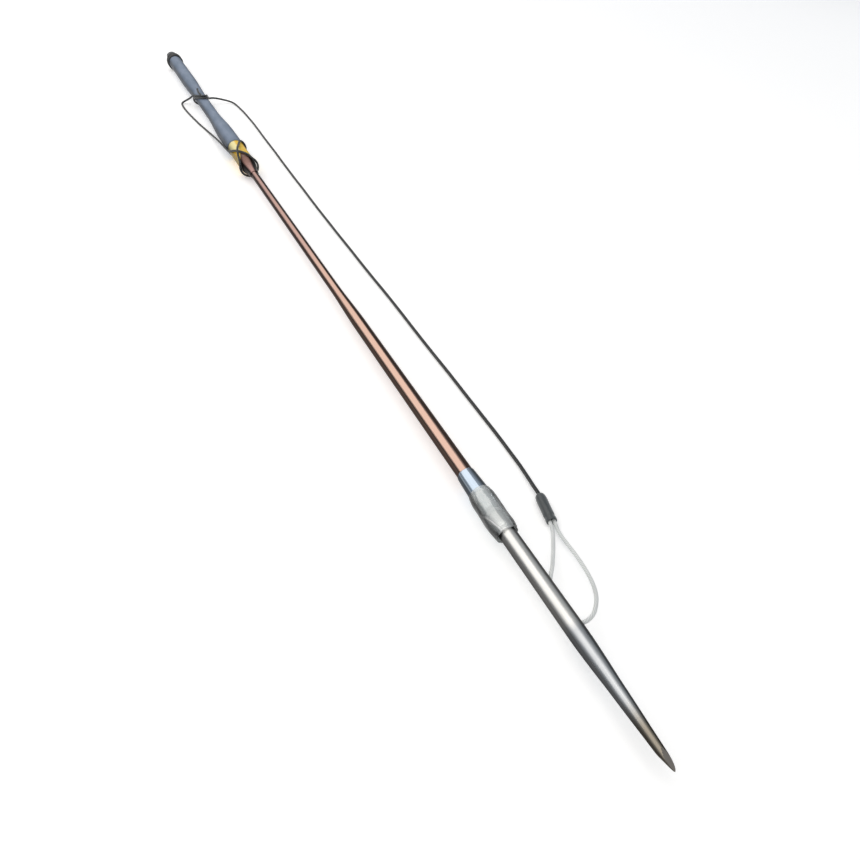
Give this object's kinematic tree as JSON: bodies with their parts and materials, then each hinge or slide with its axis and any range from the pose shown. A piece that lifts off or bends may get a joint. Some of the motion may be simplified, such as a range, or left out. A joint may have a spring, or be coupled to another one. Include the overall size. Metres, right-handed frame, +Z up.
{
  "type": "pole spear",
  "caption": "Slip-tip pole spear: loose steel tip on a spigot, cable loop and braided line, copper-toned shaft, waisted pole.",
  "frame": {"origin": "on the surface that the spear lies on, under the middle of its length", "axes": "+X along the spear, towards the point; +Z up"},
  "size_m": [1.22, 0.0718, 0.0252],
  "materials": {
    "tip_steel": "satin turned stainless, bright with dark edges",
    "adapter_steel": "turned stainless",
    "ferrule_polish": "mirror polished",
    "shaft_copper": "bronze anodised aluminium, satin to gloss",
    "insert_steel": "machined",
    "coupler_alloy": "machined",
    "core_steel": "drawn tube",
    "clear_film": "wound clear film with creases",
    "boot_rubber": "gloss dark brown to black",
    "band_yellow": "gloss yellow tape",
    "sleeve_grey": "satin blue-grey",
    "butt_alloy": "machined stainless",
    "black_rubber": "moulded black rubber",
    "cable_coat": "translucent white coating over stranded wire",
    "crimp_metal": "pressed soft metal",
    "shrink_black": "shrunk black tubing, satin",
    "braid_black": "braided black line"
  },
  "bodies": {
    "pole": {"tip_adapter": "adapter_steel", "spigot_ring": "black_rubber", "cushion_ring": "black_rubber", "clear_wrap": "clear_film", "front_ferrule": "ferrule_polish", "shaft_insert": "insert_steel", "front_shaft": "shaft_copper", "rear_stud": "insert_steel", "pole_coupler": "coupler_alloy", "coupler_pin": "insert_steel", "tube_seals": "black_rubber", "core_tube": "core_steel", "nose_boot": "boot_rubber", "yellow_band": "band_yellow", "pole_sleeve": "sleeve_grey", "butt_plug": "butt_alloy", "plug_pin": "insert_steel", "butt_ring": "black_rubber", "shooting_line": "braid_black", "line_hitch": "braid_black", "line_tail": "braid_black", "line_bight": "braid_black", "line_lashing": "braid_black", "line_knot": "braid_black"},
    "slip_tip": {"slip_tip": "tip_steel", "cable_leg_rear": "cable_coat", "cable_leg_front": "cable_coat", "cable_crimp": "crimp_metal", "shrink_sleeve": "shrink_black"}
  },
  "joints": [
    {"name": "tip_release", "type": "slide", "parent": "pole", "child": "slip_tip", "axis": [1, 0, 0], "range_m": [0, 0.045]}
  ]
}
